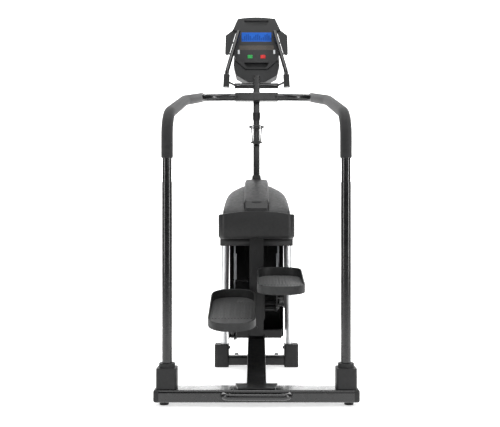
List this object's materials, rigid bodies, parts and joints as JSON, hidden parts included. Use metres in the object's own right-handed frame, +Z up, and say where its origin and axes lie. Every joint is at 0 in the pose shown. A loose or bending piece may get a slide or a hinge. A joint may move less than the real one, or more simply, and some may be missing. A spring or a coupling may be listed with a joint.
{
  "type": "stair climber",
  "caption": "Free-standing stair climber with two linked stepping pedals, bent handrails, a shrouded drive and a console on a mast.",
  "frame": {"origin": "on the floor, midway along the length and on the centre plane", "axes": "+X to the user's right, +Y forward toward the console, +Z up"},
  "size_m": [0.775, 1, 1.7342],
  "materials": {
    "frame_black": "semi-gloss powder coat",
    "post_black": "gloss powder coat",
    "inner_steel": "satin",
    "chrome_tube": "polished",
    "zinc_steel": "zinc plated",
    "shroud_plastic": "textured",
    "boot_plastic": "moulded",
    "pedal_plastic": "textured",
    "tread_rubber": "ribbed",
    "foam_grip": "foam",
    "foot_rubber": "matte",
    "console_plastic": "textured",
    "lcd": "backlit",
    "label": "printed film",
    "start_green": "moulded",
    "stop_red": "moulded",
    "key_white": "moulded",
    "board_green": "lacquered",
    "belt_rubber": "ribbed",
    "cast_flywheel": "machined",
    "alternator_alu": "cast"
  },
  "bodies": {
    "frame": {"rear_stabilizer": "frame_black", "rear_end_caps": "boot_plastic", "front_stabilizer": "frame_black", "front_boots": "boot_plastic", "spine_beam": "frame_black", "upright_frame": "frame_black", "pivot_axles": "frame_black", "side_tubes": "chrome_tube", "drive_frame": "inner_steel", "shaft_bearings": "inner_steel", "lift_handle": "frame_black", "post_boots": "boot_plastic", "handrail_posts": "post_black", "handrails": "post_black", "handrail_grips": "foam_grip", "handrail_bracket": "frame_black", "mast": "post_black", "mast_collar": "boot_plastic", "bottle_cage": "frame_black", "side_shrouds": "shroud_plastic", "ridge_cover": "shroud_plastic", "ridge_badge": "boot_plastic", "rear_band": "shroud_plastic", "lower_shroud": "shroud_plastic", "front_cover": "shroud_plastic", "console_back": "console_plastic", "console_front": "console_plastic", "lcd_window": "lcd", "label_strip": "label", "circuit_board": "board_green", "handlebar": "post_black", "pulse_grips": "foam_grip", "frame_bolts": "frame_black", "alternator": "alternator_alu", "drive_belt": "belt_rubber", "left_chain": "zinc_steel", "right_chain": "zinc_steel"},
    "right_arm": {"right_arm": "frame_black"},
    "left_arm": {"left_arm": "frame_black"},
    "right_link": {"right_link": "frame_black"},
    "left_link": {"left_link": "frame_black"},
    "right_pedal": {"right_pedal": "pedal_plastic", "right_tread_mat": "tread_rubber", "right_pedal_bracket": "frame_black"},
    "left_pedal": {"left_pedal": "pedal_plastic", "left_tread_mat": "tread_rubber", "left_pedal_bracket": "frame_black"},
    "drive_shaft": {"drive_shaft": "zinc_steel", "drive_pulley": "inner_steel"},
    "right_clutch": {"right_clutch_sprocket": "zinc_steel"},
    "left_clutch": {"left_clutch_sprocket": "zinc_steel"},
    "flywheel": {"flywheel": "cast_flywheel"},
    "left_wheel": {"left_wheel": "foot_rubber"},
    "right_wheel": {"right_wheel": "foot_rubber"},
    "left_foot": {"left_foot": "foot_rubber"},
    "right_foot": {"right_foot": "foot_rubber"},
    "start_button": {"start_button": "start_green"},
    "stop_button": {"stop_button": "stop_red"},
    "left_level_key": {"left_level_key": "key_white"},
    "right_level_key": {"right_level_key": "key_white"}
  },
  "joints": [
    {"name": "right_arm_swing", "type": "hinge", "parent": "frame", "child": "right_arm", "pos_m": [0.102, 0.2325, 0.3248], "axis": [1, 0, 0], "range_deg": [-7.6, 24.4], "deforming": ["right_chain"]},
    {"name": "left_arm_swing", "type": "hinge", "parent": "frame", "child": "left_arm", "pos_m": [-0.102, 0.2325, 0.3248], "axis": [1, 0, 0], "range_deg": [-24.45, 7.65], "deforming": ["left_chain"]},
    {"name": "right_link_swing", "type": "hinge", "parent": "frame", "child": "right_link", "pos_m": [0.09, 0.1525, 0.3058], "axis": [1, 0, 0], "range_deg": [-9.43, 30.17]},
    {"name": "left_link_swing", "type": "hinge", "parent": "frame", "child": "left_link", "pos_m": [-0.09, 0.1525, 0.3058], "axis": [1, 0, 0], "range_deg": [-30.21, 9.44]},
    {"name": "right_pedal_tilt", "type": "hinge", "parent": "right_arm", "child": "right_pedal", "pos_m": [0.098, -0.21564, 0.39098], "axis": [1, 0, 0], "range_deg": [-12.51, 3.93]},
    {"name": "left_pedal_tilt", "type": "hinge", "parent": "left_arm", "child": "left_pedal", "pos_m": [-0.098, -0.21564, 0.25862], "axis": [1, 0, 0], "range_deg": [-4.43, 14.1]},
    {"name": "right_clutch_turn", "type": "hinge", "parent": "frame", "child": "right_clutch", "pos_m": [0.102, 0.2125, 0.715], "axis": [1, 0, 0], "range_deg": [-11.73, 37.53]},
    {"name": "left_clutch_turn", "type": "hinge", "parent": "frame", "child": "left_clutch", "pos_m": [-0.102, 0.2125, 0.715], "axis": [1, 0, 0], "range_deg": [-37.53, 11.73]},
    {"name": "flywheel_spin", "type": "hinge", "parent": "frame", "child": "flywheel", "pos_m": [-0.052, 0.3675, 0.72], "axis": [1, 0, 0], "continuous": true},
    {"name": "drive_shaft_spin", "type": "hinge", "parent": "frame", "child": "drive_shaft", "pos_m": [0, 0.2125, 0.715], "axis": [1, 0, 0], "continuous": true},
    {"name": "left_wheel_spin", "type": "hinge", "parent": "frame", "child": "left_wheel", "pos_m": [-0.1, 0.4205, 0.031], "axis": [1, 0, 0], "continuous": true},
    {"name": "right_wheel_spin", "type": "hinge", "parent": "frame", "child": "right_wheel", "pos_m": [0.1, 0.4205, 0.031], "axis": [1, 0, 0], "continuous": true},
    {"name": "left_foot_screw", "type": "slide", "parent": "frame", "child": "left_foot", "axis": [0, 0, -1], "range_m": [0, 0.01]},
    {"name": "right_foot_screw", "type": "slide", "parent": "frame", "child": "right_foot", "axis": [0, 0, -1], "range_m": [0, 0.01]},
    {"name": "start_press", "type": "slide", "parent": "frame", "child": "start_button", "axis": [0, 0.9945, -0.1045], "range_m": [0, 0.0015], "stiffness_N_per_m": 400},
    {"name": "stop_press", "type": "slide", "parent": "frame", "child": "stop_button", "axis": [0, 0.9945, -0.1045], "range_m": [0, 0.0015], "stiffness_N_per_m": 400},
    {"name": "left_level_press", "type": "slide", "parent": "frame", "child": "left_level_key", "axis": [0, 0.9945, -0.1045], "range_m": [0, 0.0015], "stiffness_N_per_m": 400},
    {"name": "right_level_press", "type": "slide", "parent": "frame", "child": "right_level_key", "axis": [0, 0.9945, -0.1045], "range_m": [0, 0.0015], "stiffness_N_per_m": 400}
  ],
  "couplings": [
    {"joint": "left_arm_swing", "follows": "right_arm_swing", "ratio": -1},
    {"joint": "right_link_swing", "follows": "right_arm_swing", "ratio": 1.2343},
    {"joint": "left_link_swing", "follows": "right_arm_swing", "ratio": -1.2361},
    {"joint": "right_pedal_tilt", "follows": "right_arm_swing", "ratio": -0.5105},
    {"joint": "left_pedal_tilt", "follows": "right_arm_swing", "ratio": 0.5757},
    {"joint": "right_clutch_turn", "follows": "right_arm_swing", "ratio": 1.5362},
    {"joint": "left_clutch_turn", "follows": "right_arm_swing", "ratio": -1.5362},
    {"joint": "drive_shaft_spin", "follows": "flywheel_spin", "ratio": 0.2571}
  ]
}
